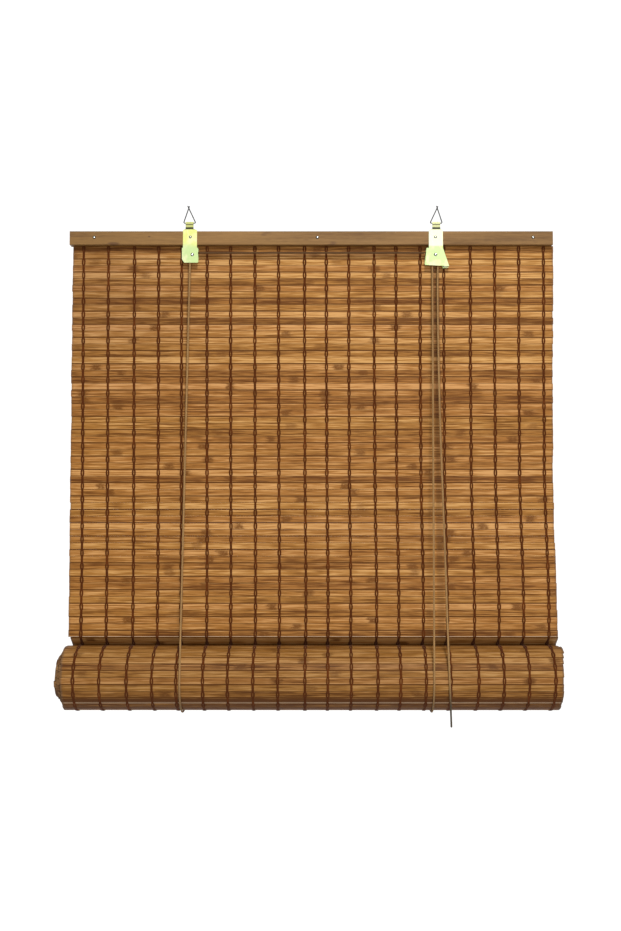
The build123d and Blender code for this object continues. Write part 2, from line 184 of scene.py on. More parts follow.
class RollSettings(bpy.types.PropertyGroup):
    """The rolled part of the screen"""

    slats: IntProperty(name="Slats", description="Slats in the roll", default=138)
    radius: FloatProperty(
        name="Radius", description="To the middle of the strip", default=0.053, unit="LENGTH"
    )
    drop: FloatProperty(
        name="Drop", description="From the fold to the axis", default=0.0643, unit="LENGTH"
    )
    forward: FloatProperty(
        name="Forward", description="The axis before the screen", default=0.004, unit="LENGTH"
    )
    layer: FloatProperty(
        name="Layer", description="From one turn to the next", default=0.004, unit="LENGTH"
    )
    left: FloatProperty(
        name="Left end", description="The outer turn's left end", default=-0.399, unit="LENGTH"
    )
    length: FloatProperty(
        name="Length", description="Length of the roll's slats", default=0.795, unit="LENGTH"
    )
    bulge: FloatProperty(
        name="Bulge", description="How far the inner turns stand out", default=0.014, unit="LENGTH"
    )
    rim: FloatProperty(
        name="Rim", description="The radius where the bulge starts", default=0.047, unit="LENGTH"
    )
    core: FloatProperty(
        name="Core", description="The radius where it is complete", default=0.030, unit="LENGTH"
    )
    fine: IntProperty(
        name="Fine slats", description="Outer slats with finely shaped yarn", default=38
    )
    fold: IntProperty(
        name="Fold slats", description="Slats between the fold and the roll", default=3
    )
    fold_shift: FloatProperty(
        name="Fold shift", description="How far those stand to the right", default=0.004,
        unit="LENGTH",
    )
    overhang_right: FloatProperty(
        name="Right overhang", description="How far the front's upper slats stand out",
        default=0.0072, unit="LENGTH",
    )
    overhang_left: FloatProperty(
        name="Left overhang", description="The same at the left end", default=0.003, unit="LENGTH"
    )


class YarnSettings(bpy.types.PropertyGroup):
    """The rows of yarn"""

    first: FloatProperty(
        name="First row", description="Place of the first row", default=-0.380, unit="LENGTH"
    )
    pitch: FloatProperty(
        name="Row pitch", description="From row to row", default=0.0402, unit="LENGTH"
    )
    strand: FloatProperty(
        name="Strand", description="Half the width of a strand", default=0.00134, unit="LENGTH"
    )
    flatness: FloatProperty(
        name="Flatness", description="A strand's thickness over its width", default=0.55
    )
    loop: FloatProperty(
        name="Loop", description="Half the width of an open loop", default=0.0018, unit="LENGTH"
    )
    pinch: FloatProperty(
        name="Pinch", description="Half the spacing where strands meet", default=0.00074,
        unit="LENGTH",
    )
    colour: FloatVectorProperty(
        name="Yarn", description="Colour of the yarn", default=(0.092, 0.023, 0.003),
        subtype="COLOR",
    )


class CordSettings(bpy.types.PropertyGroup):
    """The pull cord and the lift cord"""

    diameter: FloatProperty(
        name="Diameter", description="Thickness of the cord", default=0.003, unit="LENGTH"
    )
    length: FloatProperty(
        name="Pull cord", description="Length of the pull cord's tail", default=0.757,
        unit="LENGTH",
    )
    colour: FloatVectorProperty(
        name="Cord", description="Colour of the cord", default=(0.41, 0.240, 0.088),
        subtype="COLOR",
    )


class FinishSettings(bpy.types.PropertyGroup):
    """Colours of bamboo and wood"""

    bamboo_dark: FloatVectorProperty(
        name="Dark bamboo", description="Stained streaks", default=(0.115, 0.038, 0.004),
        subtype="COLOR",
    )
    bamboo_middle: FloatVectorProperty(
        name="Bamboo", description="Most of a slat", default=(0.318, 0.138, 0.026),
        subtype="COLOR",
    )
    bamboo_light: FloatVectorProperty(
        name="Light bamboo", description="Pale streaks", default=(0.545, 0.295, 0.098),
        subtype="COLOR",
    )
    rail: FloatVectorProperty(
        name="Rail", description="Colour of the rail's wood", default=(0.200, 0.101, 0.026),
        subtype="COLOR",
    )


class StageSettings(bpy.types.PropertyGroup):
    """Camera, floor and even light"""

    lens: FloatProperty(name="Lens", description="Focal length in millimetres", default=42.07)
    camera_right: FloatProperty(
        name="Sideways", description="Camera right of the middle", default=-0.004, unit="LENGTH"
    )
    camera_back: FloatProperty(
        name="Distance", description="Camera before the rings", default=1.778, unit="LENGTH"
    )
    camera_height: FloatProperty(
        name="Height", description="Camera's height", default=-0.5256, unit="LENGTH"
    )
    camera_pitch: FloatProperty(
        name="Pitch", description="Camera's tilt from level", default=math.radians(3.2),
        subtype="ANGLE",
    )
    floor: FloatProperty(
        name="Floor", description="Height of the floor", default=-1.6, unit="LENGTH"
    )
    wall: FloatProperty(
        name="Wall", description="Height of the wall behind", default=7.0, unit="LENGTH"
    )
    cove: FloatProperty(
        name="Cove", description="Rounding between floor and wall", default=1.6, unit="LENGTH"
    )
    room_light: FloatProperty(
        name="Room light", description="Strength of the even light", default=0.25
    )


# Shape helpers
def mesh_object(name, bm, material, smooth_angle=35.0):
    """A new object at the origin whose mesh holds the bmesh."""
    mesh = bpy.data.meshes.new(name)
    for face in bm.faces:
        face.smooth = True
    bm.to_mesh(mesh)
    bm.free()
    mesh.set_sharp_from_angle(angle=math.radians(smooth_angle))
    mesh.materials.append(material)
    piece = bpy.data.objects.new(name, mesh)
    bpy.context.collection.objects.link(piece)
    return piece


def append_mesh(bm, mesh):
    """Adds a copy of the mesh to the bmesh and returns its new vertices."""
    start = len(bm.verts)
    bm.from_mesh(mesh)
    bm.verts.ensure_lookup_table()
    return bm.verts[start:]


def looked_up(table, height):
    """The distance that a table gives for a height."""
    for (za, a), (zb, b) in zip(table, table[1:]):
        if height >= zb:
            share = min(1.0, max(0.0, (za - height) / (za - zb)))
            return a + (b - a) * share
    return 0.0


def row_sway(x, height):
    """How far a point of a row of yarn is moved sideways, more so towards the right edge."""
    drawn_in = 0.003
    share = max(0.0, (x + 0.4) / 0.8)
    return looked_up(ROW_LEAN, height) + (looked_up(RIGHT_EDGE, height) - drawn_in) * share**2


def upper_overhang(axis, place):
    """1 at the top of the roll's front and 0 from its middle down and at its back."""
    high = min(1.0, max(0.0, (place[1] - axis[1] - 0.012) / 0.040))
    front = min(1.0, max(0.0, (axis[0] + 0.010 - place[0]) / 0.020))
    return high * front


def spiral_point(roll, axis, turned, start):
    """The (y, z) of the strip's middle after it has turned by this angle."""
    radius = roll.radius - roll.layer * turned / (2 * math.pi)
    angle = start + turned
    return axis[0] + radius * math.sin(angle), axis[1] + radius * math.cos(angle)


def next_turned(roll, axis, point, turned, start, length):
    """Where on the spiral the next slat ends, by halving an interval."""
    widest = 1.6
    halvings = 50
    low = turned
    high = turned + widest
    for _ in range(halvings):
        middle = (low + high) / 2
        if math.dist(point, spiral_point(roll, axis, middle, start)) < length:
            low = middle
        else:
            high = middle
    return low


def roll_axis(slats, roll):
    """The (y, z) of the roll's axis."""
    fold = slats.top - slats.flat * slats.pitch
    return slats.depth - roll.forward, fold - roll.drop


def flat_corners(slats):
    """The (y, z) corners of the hanging strip from its top to the fold."""
    return [(slats.depth, slats.top - i * slats.pitch) for i in range(slats.flat + 1)]


def roll_corners(slats, roll):
    """The (y, z) corners of the rolled strip from the fold inwards."""
    fold = flat_corners(slats)[-1]
    axis = roll_axis(slats, roll)
    distance = math.hypot(roll.forward, roll.drop)
    run = math.sqrt(distance**2 - roll.radius**2)
    start = math.atan2(roll.forward, roll.drop) + math.acos(roll.radius / distance)
    touch = spiral_point(roll, axis, 0, start)
    direction = ((touch[0] - fold[0]) / run, (touch[1] - fold[1]) / run)
    straight = int(run // slats.pitch)
    tilt = math.atan2(direction[0], -direction[1])
    clear = 0.0001
    setback = slats.thickness / 2 * math.tan(tilt) + clear / math.cos(tilt)
    steps = [setback] + [slats.pitch * (i + 1) for i in range(straight)]
    points = [(fold[0] + direction[0] * s, fold[1] + direction[1] * s) for s in steps]
    turned = 0.0
    for _ in range(roll.slats - straight):
        turned = next_turned(roll, axis, points[-1], turned, start, slats.pitch)
        points.append(spiral_point(roll, axis, turned, start))
    return points


def lengthwise(bm):
    """The edges that run along X for most of a metre."""
    return [e for e in bm.edges if abs(e.verts[0].co.x - e.verts[1].co.x) > 0.5]


def slat_template(slats):
    """A slat 1 m long, lying along X, with its face towards +Y and its height along Z."""
    bm = bmesh.new()
    bmesh.ops.create_cube(bm, size=1.0)
    height = slats.pitch - slats.gap
    bmesh.ops.scale(bm, vec=(1.0, slats.thickness, height), verts=bm.verts)
    bmesh.ops.bevel(
        bm,
        geom=lengthwise(bm),
        offset=slats.edge,
        offset_type="OFFSET",
        segments=3,
        profile=0.5,
        affect="EDGES",
        material=-1,
    )
    bmesh.ops.subdivide_edges(bm, edges=lengthwise(bm), cuts=3)
    mesh = bpy.data.meshes.new("slat_template")
    bm.to_mesh(mesh)
    bm.free()
    return mesh


class SlatMaker:
    """Adds slats to a bmesh, each with its own tone and its own place in the grain."""

    def __init__(self, slats, template, seed):
        self.slats = slats
        self.template = template
        self.random = random.Random(seed)
        self.count = 0

    def start(self):
        """A new bmesh with the layers that the bamboo finish reads."""
        bm = bmesh.new()
        grain = bm.verts.layers.float_vector.new("grain")
        tone = bm.verts.layers.float_color.new("tone")
        edge_highlight = bm.verts.layers.float.new("edge_highlight")
        end = bm.verts.layers.float.new("end")
        return bm, (grain, tone, edge_highlight, end)

    def add(self, bm, layers, a, b, left, right, painted_shading=0.0, painted_highlight=0.0):
        """A slat between two corners of the strip, which bends a little along its length. The shading
        argument lowers the slat's tone as painted shade, and raises it as painted light when negative;
        the highlight argument paints a highlight along the rim away from its dark joint.
        """
        grain, tone, edge_highlight, end = layers
        slats = self.slats
        draw = self.random
        length = math.dist(a, b)
        along = ((b[0] - a[0]) / length, (b[1] - a[1]) / length)
        face = (along[1], -along[0])
        middle = ((a[0] + b[0]) / 2, (a[1] + b[1]) / 2)
        shade = draw.gauss(0.5, 0.2) - painted_shading
        warm = draw.random()
        knot = draw.random()
        place = draw.uniform(0, 40)
        lean = draw.uniform(-0.00018, 0.00018)
        thick = draw.uniform(0.9, 1.0)
        height = slats.pitch - slats.gap
        bend = [draw.uniform(-0.00012, 0.00012) for _ in range(5)]
        dark_side = 1 if self.count % 2 == 0 else -1
        self.count += 1
        for v in append_mesh(bm, self.template):
            x, n, t = v.co
            at_end = abs(x) > 0.49
            wide = (left + right) / 2 + x * (right - left)
            if at_end:
                wide = right if x > 0 else left
            out = n * thick + lean + bend[min(4, int((x + 0.5) * 4 + 0.5))]
            v[edge_highlight] = painted_highlight
            v[end] = 1.0 if at_end else 0.0
            v[grain] = (wide, n, t + place)
            v[tone] = (shade, warm, knot, 0.5 - dark_side * t / height)
            v.co = (
                wide,
                middle[0] + face[0] * out - along[0] * t,
                middle[1] + face[1] * out - along[1] * t,
            )


def strand_template(yarn, rings, sides):
    """Two strands over two slats: an open loop, then pinched together.

    X is across the row, Y counts slats and Z is away from the slat's face.
    """
    shape = []
    for i in range(2 * rings + 1):
        s = i / rings
        if s < 1:
            swell = math.sin(math.pi * s) ** 0.45 if 0 < s < 1 else 0.0
            shape.append((yarn.pinch + (yarn.loop - yarn.pinch) * swell, s))
        else:
            shape.append((yarn.pinch * 0.92, s))
    bm = bmesh.new()
    for side in (-1, 1):
        across = Matrix.Rotation(math.radians(90), 4, "X")
        ring = bmesh.ops.create_circle(
            bm, segments=sides, radius=yarn.strand, matrix=across
        )["verts"]
        bmesh.ops.scale(bm, vec=(1, 1, yarn.flatness), verts=ring)
        bmesh.ops.translate(bm, vec=(side * shape[0][0], 0, 0), verts=ring)
        edges = list({e for v in ring for e in v.link_edges})
        for (xa, sa), (xb, sb) in zip(shape, shape[1:]):
            made = bmesh.ops.extrude_edge_only(bm, edges=edges)["geom"]
            verts = [g for g in made if isinstance(g, bmesh.types.BMVert)]
            edges = [g for g in made if isinstance(g, bmesh.types.BMEdge)]
            bmesh.ops.translate(bm, vec=(side * (xb - xa), sb - sa, 0), verts=verts)
    mesh = bpy.data.meshes.new("strand_template")
    bm.to_mesh(mesh)
    bm.free()
    return mesh


def mitres(corners):
    """For each corner, the way and amount in which an offset point moves."""
    normals = []
    for (ay, az), (by, bz) in zip(corners, corners[1:]):
        length = math.hypot(by - ay, bz - az)
        normals.append(((bz - az) / length, (ay - by) / length))
    moved = []
    for first, second in zip([normals[0]] + normals, normals + [normals[-1]]):
        share = 1 / (1 + first[0] * second[0] + first[1] * second[1])
        moved.append((share * (first[0] + second[0]), share * (first[1] + second[1])))
    return moved


def offset_corner(corners, way, number, off):
    """The (y, z) of a corner, moved out from the strip's middle."""
    return corners[number][0] + way[number][0] * off, corners[number][1] + way[number][1] * off


def weave(name, material, template, corners, rows, first, last, side, seed, slats, yarn):
    """Rows of yarn on one face of the strip. side is 1 on the face and -1 on the back."""
    draw = random.Random(seed)
    way = mitres(corners)
    clear = 0.0003
    bm = bmesh.new()
    for row in rows:
        for pair in range(first, last, 2):
            spread = draw.uniform(0.86, 1.12)
            shift = draw.uniform(-0.0002, 0.0002)
            for v in append_mesh(bm, template):
                x, s, out = v.co
                wide = abs(x) - yarn.pinch
                if wide > 0:
                    x = math.copysign(yarn.pinch + wide * spread, x)
                place = pair + s
                slat = min(len(corners) - 2, max(0, int(place)))
                share = min(1.0, max(0.0, place - slat))
                puff = clear * math.sin(math.pi * (place % 1)) ** 0.8
                off = side * (slats.thickness / 2 + clear + puff + out)
                ay, az = offset_corner(corners, way, slat, off)
                by, bz = offset_corner(corners, way, slat + 1, off)
                z = az + (bz - az) * share
                bend = shift * math.sin(math.pi * s / 2) ** 2
                v.co = (row + x + bend + row_sway(row, z), ay + (by - ay) * share, z)
    bmesh.ops.remove_doubles(bm, verts=bm.verts, dist=0.00004)
    bmesh.ops.holes_fill(bm, edges=[e for e in bm.edges if e.is_boundary], sides=8)
    bmesh.ops.recalc_face_normals(bm, faces=bm.faces)
    return mesh_object(name, bm, material, 60.0)


def nurbs(name, points):
    """An open spline of order 3 with these control points."""
    curve = bpy.data.curves.new(name, "CURVE")
    curve.dimensions = "3D"
    curve.resolution_u = 12
    spline = curve.splines.new("NURBS")
    spline.points.add(len(points) - 1)
    for point, place in zip(spline.points, points):
        point.co = (*place, 1)
    spline.order_u = 3
    spline.use_endpoint_u = True
    return bpy.data.objects.new(name, curve)


def spline_points(name, route):
    """The points that Blender makes of a route's spline."""
    holder = nurbs(name, route)
    bpy.context.collection.objects.link(holder)
    bpy.context.view_layer.update()
    seen = bpy.data.meshes.new_from_object(holder)
    points = [v.co.copy() for v in seen.vertices]
    curve = holder.data
    bpy.data.objects.remove(holder)
    bpy.data.curves.remove(curve)
    bpy.data.meshes.remove(seen)
    return points


def cord_tube(name, points, radius, sides, material):
    """A round tube along the points, with braid coordinates and rounded ends."""
    bm = bmesh.new()
    braid = bm.loops.layers.uv.new("braid")
    place = bm.verts.layers.float_vector.new("lay")
    run = 0.0
    side = Vector((0, 1, 0))
    rings = []
    for i, point in enumerate(points):
        before = points[max(0, i - 1)]
        after = points[min(len(points) - 1, i + 1)]
        along = (after - before).normalized()
        side = (side - along * side.dot(along)).normalized()
        up = along.cross(side)
        run += (point - before).length
        ring = bmesh.ops.create_circle(bm, segments=sides, radius=radius)["verts"]
        turn = Matrix((side, up, along)).transposed().to_4x4()
        bmesh.ops.transform(bm, matrix=Matrix.Translation(point) @ turn, verts=ring)
        for j, v in enumerate(ring):
            v[place] = (j / sides, run, 0)
        rings.append(ring)
    for first, second in zip(rings, rings[1:]):
        round_edges = [
            e for ring in (first, second) for v in ring for e in v.link_edges
            if e.other_vert(v) in ring
        ]
        bmesh.ops.bridge_loops(bm, edges=list(dict.fromkeys(round_edges)))
    rounding = radius * 0.45
    for ring, inner in ((rings[0], rings[1]), (rings[-1], rings[-2])):
        middle = sum((v.co for v in ring), Vector()) / sides
        back = sum((v.co for v in inner), Vector()) / sides
        cap = bmesh.ops.contextual_create(bm, geom=ring)["faces"]
        bmesh.ops.inset_region(bm, faces=cap, thickness=rounding)
        out = (middle - back).normalized() * rounding
        for v in cap[0].verts:
            v.co += out
    for face in bm.faces:
        shares = [loop.vert[place][0] for loop in face.loops]
        wraps = max(shares) - min(shares) > 0.5
        for loop in face.loops:
            u, v, _ = loop.vert[place]
            loop[braid].uv = (u + 1 if wraps and u < 0.5 else u, v)
    bmesh.ops.recalc_face_normals(bm, faces=bm.faces)
    return mesh_object(name, bm, material, 70.0)


def floor_and_wall(stage):
    """A floor that curves up into a wall behind the blind."""
    bm = bmesh.new()
    bmesh.ops.create_grid(bm, x_segments=1, y_segments=1, size=6.0)
    bmesh.ops.translate(bm, vec=(0, -2.5, stage.floor), verts=bm.verts)
    back = [e for e in bm.edges if all(v.co.y > 3 for v in e.verts)]
    made = bmesh.ops.extrude_edge_only(bm, edges=back)["geom"]
    up = [g for g in made if isinstance(g, bmesh.types.BMVert)]
    bmesh.ops.translate(bm, vec=(0, 0, stage.wall), verts=up)
    bmesh.ops.bevel(
        bm,
        geom=back,
        offset=stage.cove,
        segments=12,
        profile=0.5,
        affect="EDGES",
        material=-1,
    )
    return bm


def area_light(name, place, target, size, power):
    """A square soft light that shines at a target."""
    lamp = bpy.data.lights.new(name, "AREA")
    lamp.shape = "SQUARE"
    lamp.size = size
    lamp.energy = power
    holder = bpy.data.objects.new(name, lamp)
    holder.location = place
    aim = Vector(target) - Vector(place)
    holder.rotation_euler = aim.to_track_quat("-Z", "Y").to_euler()
    bpy.context.collection.objects.link(holder)


# Finishes
class Finish:
    """A material built from nodes."""

    def __init__(self, name, values=None):
        self.material = bpy.data.materials.new(name)
        self.material.use_nodes = True
        self.tree = self.material.node_tree
        self.tree.nodes.clear()
        self.output = self.tree.nodes.new("ShaderNodeOutputMaterial")
        self.shader = self.tree.nodes.new("ShaderNodeBsdfPrincipled")
        self.join(self.shader.outputs[0], self.output.inputs["Surface"])
        for key, value in (values or {}).items():
            self.shader.inputs[key].default_value = value

    def join(self, source, target):
        self.tree.links.new(source, target)

    def put(self, value, socket):
        if isinstance(value, bpy.types.NodeSocket):
            self.join(value, socket)
        elif isinstance(value, (tuple, list)) and len(value) == 3 and socket.type == "RGBA":
            socket.default_value = (*value, 1)
        else:
            socket.default_value = value

    def coordinates(self):
        return self.tree.nodes.new("ShaderNodeTexCoord").outputs["Object"]

    def attribute(self, name):
        node = self.tree.nodes.new("ShaderNodeAttribute")
        node.attribute_name = name
        return node

    def uv(self, name):
        node = self.tree.nodes.new("ShaderNodeUVMap")
        node.uv_map = name
        return node.outputs["UV"]

    def stretch(self, vector, scale):
        node = self.tree.nodes.new("ShaderNodeMapping")
        self.put(vector, node.inputs["Vector"])
        node.inputs["Scale"].default_value = scale
        return node.outputs["Vector"]

    def noise(self, vector, scale=1.0, detail=2.0, rough=0.5, distort=0.0):
        node = self.tree.nodes.new("ShaderNodeTexNoise")
        self.put(vector, node.inputs["Vector"])
        node.inputs["Scale"].default_value = scale
        node.inputs["Detail"].default_value = detail
        node.inputs["Roughness"].default_value = rough
        node.inputs["Distortion"].default_value = distort
        return node.outputs["Fac"]

    def math(self, operation, a, b=0.0, c=0.0):
        node = self.tree.nodes.new("ShaderNodeMath")
        node.operation = operation
        for value, socket in zip((a, b, c), node.inputs):
            self.put(value, socket)
        return node.outputs[0]

    def times(self, a, b):
        return self.math("MULTIPLY", a, b)

    def plus(self, a, b):
        return self.math("ADD", a, b)

    def swing(self, noise, amount):
        """How far a noise is from its middle, times an amount."""
        return self.times(self.math("SUBTRACT", noise, 0.5), amount)

    def ramp(self, value, low, high, out_low=0.0, out_high=1.0):
        node = self.tree.nodes.new("ShaderNodeMapRange")
        node.interpolation_type = "SMOOTHSTEP"
        node.clamp = True
        for v, socket in zip((value, low, high, out_low, out_high), node.inputs):
            self.put(v, socket)
        return node.outputs[0]

    def band(self, value, start, full, still, end, amount=1.0):
        """Rises from start to full, stays at the amount and falls from still to end."""
        return self.times(self.ramp(value, start, full), self.ramp(value, still, end, amount, 0.0))

    def mix(self, share, a, b, blend="MIX"):
        node = self.tree.nodes.new("ShaderNodeMix")
        node.data_type = "RGBA"
        node.blend_type = blend
        self.put(share, node.inputs[0])
        self.put(a, node.inputs[6])
        self.put(b, node.inputs[7])
        return node.outputs[2]

    def split(self, vector):
        node = self.tree.nodes.new("ShaderNodeSeparateXYZ")
        self.join(vector, node.inputs[0])
        return node.outputs

    def colour(self, value):
        self.put(value, self.shader.inputs["Base Color"])

    def rough(self, value):
        self.put(value, self.shader.inputs["Roughness"])

    def bump(self, height, strength, distance):
        node = self.tree.nodes.new("ShaderNodeBump")
        node.inputs["Strength"].default_value = strength
        node.inputs["Distance"].default_value = distance
        self.join(height, node.inputs["Height"])
        self.join(node.outputs["Normal"], self.shader.inputs["Normal"])


def bamboo_finish(name, looks, depth, cord_shadows):
    """Stained bamboo: fibres, streaks, mottled patches at the culm's joints, dark edges, painted
    highlights on the rims and painted shade towards the upper left and along the given cord shadows.
    """
    f = Finish(name, {"Specular IOR Level": 0.12})
    x, _, z = f.split(f.coordinates())
    grain = f.attribute("grain").outputs["Vector"]
    tone = f.attribute("tone")
    shade, warm, knot = f.split(tone.outputs["Vector"])
    across = tone.outputs["Alpha"]
    stain = tuple(c * depth for c in looks.bamboo_dark)
    body = tuple(c * depth for c in looks.bamboo_middle)
    pale = tuple(c * depth for c in looks.bamboo_light)
    shaded = (0.42, 0.36, 0.32)

    # fibres and streaks, in each slat's own tone
    streak = f.noise(f.stretch(grain, (9, 430, 430)), detail=3.0, rough=0.66)
    fibre = f.noise(f.stretch(grain, (26, 1050, 1050)), detail=2.0, rough=0.6)
    cloud = f.noise(f.stretch(grain, (22, 70, 70)), detail=2.0)
    level = f.plus(f.swing(streak, 1.9), f.swing(fibre, 2.2))
    level = f.plus(level, f.swing(cloud, 0.6))
    level = f.plus(level, f.swing(shade, 1.0))
    level = f.plus(level, 0.5)
    wood = f.mix(f.ramp(level, -0.1, 0.5), stain, body)
    wood = f.mix(f.ramp(level, 0.5, 1.05), wood, pale)
    wood = f.mix(f.ramp(warm, 0.1, 0.95, 0.0, 0.5), wood, (0.88, 0.75, 0.80), "MULTIPLY")

    # mottled patches at the culm's joints, 0.4 m apart
    along = f.split(grain)[0]
    step = f.plus(f.math("DIVIDE", along, 0.40), f.times(knot, 7.0))
    ragged = f.noise(f.stretch(grain, (90, 300, 300)), detail=3.0, rough=0.7)
    away = f.math("ABSOLUTE", f.math("SUBTRACT", f.math("FRACT", step), 0.5))
    away = f.plus(away, f.swing(ragged, 0.06))
    mottle = f.noise(f.stretch(grain, (260, 700, 700)), detail=3.0, rough=0.7)
    patch = f.times(f.ramp(away, 0.008, 0.030, 1.0, 0.0), f.ramp(mottle, 0.44, 0.74, 1.0, 0.35))
    patch = f.times(patch, f.ramp(warm, 0.0, 0.7, 0.4, 1.0))
    wood = f.mix(f.times(patch, 0.95), wood, tuple(c * 1.15 for c in stain))

    # painted highlights on the rims on either side of a joint between slats
    near = f.band(across, 0.13, 0.16, 0.18, 0.22)
    far = f.band(across, 0.88, 0.92, 0.94, 0.965)
    wood = f.mix(f.times(f.plus(near, far), f.ramp(cloud, 0.40, 0.62, 0.05, 0.55)), wood, pale)

    # painted shade, duller towards the upper left
    upper_left_shade = f.times(f.ramp(x, -0.40, 0.0, 0.8, 0.0), f.ramp(z, -0.42, -0.12))
    wood = f.mix(upper_left_shade, wood, (0.74, 0.74, 0.86), "MULTIPLY")

    # painted shadows of the taut cords on the slats
    for top, slope, half, amount in cord_shadows:
        middle = f.math("MULTIPLY_ADD", z, -slope, top - 0.108 * slope)
        off = f.math("ABSOLUTE", f.math("SUBTRACT", x, middle))
        strip = f.ramp(off, half, half + 0.004, amount, 0.0)
        strip = f.times(strip, f.ramp(z, -0.70, -0.12, 0.35, 1.0))
        wood = f.mix(strip, wood, shaded, "MULTIPLY")
    # a painted shadow below the lift cord's run across the screen
    if cord_shadows:
        strip = f.band(z, -0.0800, -0.0770, -0.0735, -0.0715, 0.7)
        strip = f.times(strip, f.ramp(f.math("ABSOLUTE", x), 0.19, 0.20, 1.0, 0.0))
        wood = f.mix(strip, wood, shaded, "MULTIPLY")

    # dark joints between slats, a painted highlight along one rim of chosen slats, and dark cut ends
    upper = f.ramp(across, 0.06, 0.135, 0.95, 0.0)
    lower = f.ramp(across, 0.95, 0.985, 0.0, 0.75)
    wood = f.mix(f.math("MAXIMUM", upper, lower), wood, (0.115, 0.040, 0.005))
    wood = f.mix(f.times(far, f.attribute("edge_highlight").outputs["Fac"]), wood, (0.62, 0.46, 0.31))
    cut = f.ramp(f.attribute("end").outputs["Fac"], 0.978, 0.996, 0.0, 0.35 / depth**2)
    f.colour(f.mix(cut, wood, (0.105, 0.060, 0.032)))
    f.rough(f.ramp(streak, 0.2, 0.8, 0.62, 0.44))
    f.bump(f.plus(f.plus(f.times(fibre, 0.5), streak), f.times(patch, 0.5)), 0.5, 0.0002)
    return f.material


def rail_finish(looks):
    """The head rail's plain sawn wood with a thin brown stain."""
    f = Finish("rail_wood", {"Specular IOR Level": 0.3})
    place = f.coordinates()
    x, _, z = f.split(place)
    wave = f.noise(f.stretch(place, (3.0, 26, 26)), detail=2.0)
    grain = f.noise(f.stretch(place, (6, 240, 240)), detail=3.0, rough=0.6, distort=0.5)
    pore = f.noise(f.stretch(place, (90, 1500, 1500)), detail=2.0)
    spots = f.noise(f.stretch(place, (20, 44, 80)), detail=2.0)
    level = f.plus(f.times(grain, 0.5), f.times(pore, 0.35))
    level = f.plus(level, f.times(wave, 0.5))
    wood = looks.rail[:]
    dark = tuple(c * s for c, s in zip(wood, (0.66, 0.62, 0.60)))
    pale = tuple(c * s for c, s in zip(wood, (1.22, 1.25, 1.28)))
    body = f.mix(f.ramp(level, 0.50, 0.68), dark, wood)
    body = f.mix(f.ramp(level, 0.66, 0.82), body, pale)
    knot = (-0.271, -0.0468, 0.0022, 0.0012)
    nick = (-0.330, -0.0582, 0.010, 0.0022)
    for right, up, long, high in (knot, nick):
        along = f.math("POWER", f.math("DIVIDE", f.math("SUBTRACT", x, right), long), 2.0)
        above = f.math("POWER", f.math("DIVIDE", f.math("SUBTRACT", z, up), high), 2.0)
        spot = f.ramp(f.plus(along, above), 0.3, 1.6, 0.7, 0.0)
        body = f.mix(spot, body, (0.075, 0.030, 0.010))
    f.colour(f.mix(f.ramp(spots, 0.64, 0.76, 0.0, 0.7), body, (0.09, 0.035, 0.012)))
    f.rough(f.ramp(grain, 0.3, 0.7, 0.62, 0.48))
    f.bump(f.plus(grain, f.times(pore, 0.5)), 0.3, 0.0002)
    return f.material


def yarn_finish(yarn):
    """Dyed cotton yarn, slightly hairy."""
    matt = {"Roughness": 0.92, "Specular IOR Level": 0.1}
    f = Finish("dyed_yarn", {**matt, "Sheen Weight": 0.04, "Sheen Roughness": 0.5})
    place = f.coordinates()
    thread = f.noise(f.stretch(place, (2600, 2600, 1500)), detail=2.0, rough=0.7)
    patch = f.noise(place, scale=55.0, detail=2.0)
    base = yarn.colour[:]
    body = f.mix(f.ramp(thread, 0.35, 0.7), tuple(c * 0.55 for c in base), base)
    f.colour(f.mix(f.ramp(patch, 0.45, 0.75, 0.0, 0.6), body, tuple(c * 1.35 for c in base)))
    f.bump(thread, 0.6, 0.0002)
    return f.material


def cord_finish(name, cord, darker_below):
    """Braided polyester cord: a diamond braid that follows the cord, darker low down and near the pull
    cord's end, with painted shade below the rail and under the roll.
    """
    matt = {"Roughness": 0.72, "Specular IOR Level": 0.2}
    f = Finish(name, {**matt, "Sheen Weight": 0.05, "Sheen Roughness": 0.4})
    place = f.coordinates()
    around, along, _ = f.split(f.uv("braid"))
    turn = f.times(around, 8.0)
    rise = f.times(along, 620.0)
    one = f.math("SINE", f.times(f.plus(turn, rise), math.pi))
    two = f.math("SINE", f.times(f.math("SUBTRACT", turn, rise), math.pi))
    plait = f.math("ABSOLUTE", f.times(one, two))
    fuzz = f.noise(place, scale=900.0, detail=2.0)
    dirt = f.noise(place, scale=9.0, detail=2.0)
    base = cord.colour[:]
    dark = tuple(c * s for c, s in zip(base, (0.42, 0.36, 0.32)))
    pale = tuple(min(1, c * 1.35) for c in base)
    body = f.mix(f.ramp(plait, 0.02, 0.45), dark, base)
    body = f.mix(f.ramp(plait, 0.5, 1.0, 0.0, 0.6), body, pale)
    body = f.mix(f.ramp(dirt, 0.3, 0.75, 0.0, 0.4), body, dark)
    body = f.mix(f.ramp(fuzz, 0.3, 0.7, 0.0, 0.25), body, dark)
    # painted shade where it crosses below the rail, and darker low down: painted shade where the lift
    # cord runs under the roll, and a darker tail on the pull cord
    z = f.split(place)[2]
    body = f.mix(f.ramp(z, -0.0765, -0.0740, 0.0, 0.92), body, (0.060, 0.025, 0.007))
    f.colour(f.mix(f.ramp(z, -0.812, -0.765, darker_below, 0.0), body, (0.036, 0.029, 0.019)))
    f.bump(plait, 0.7, 0.0003)
    return f.material


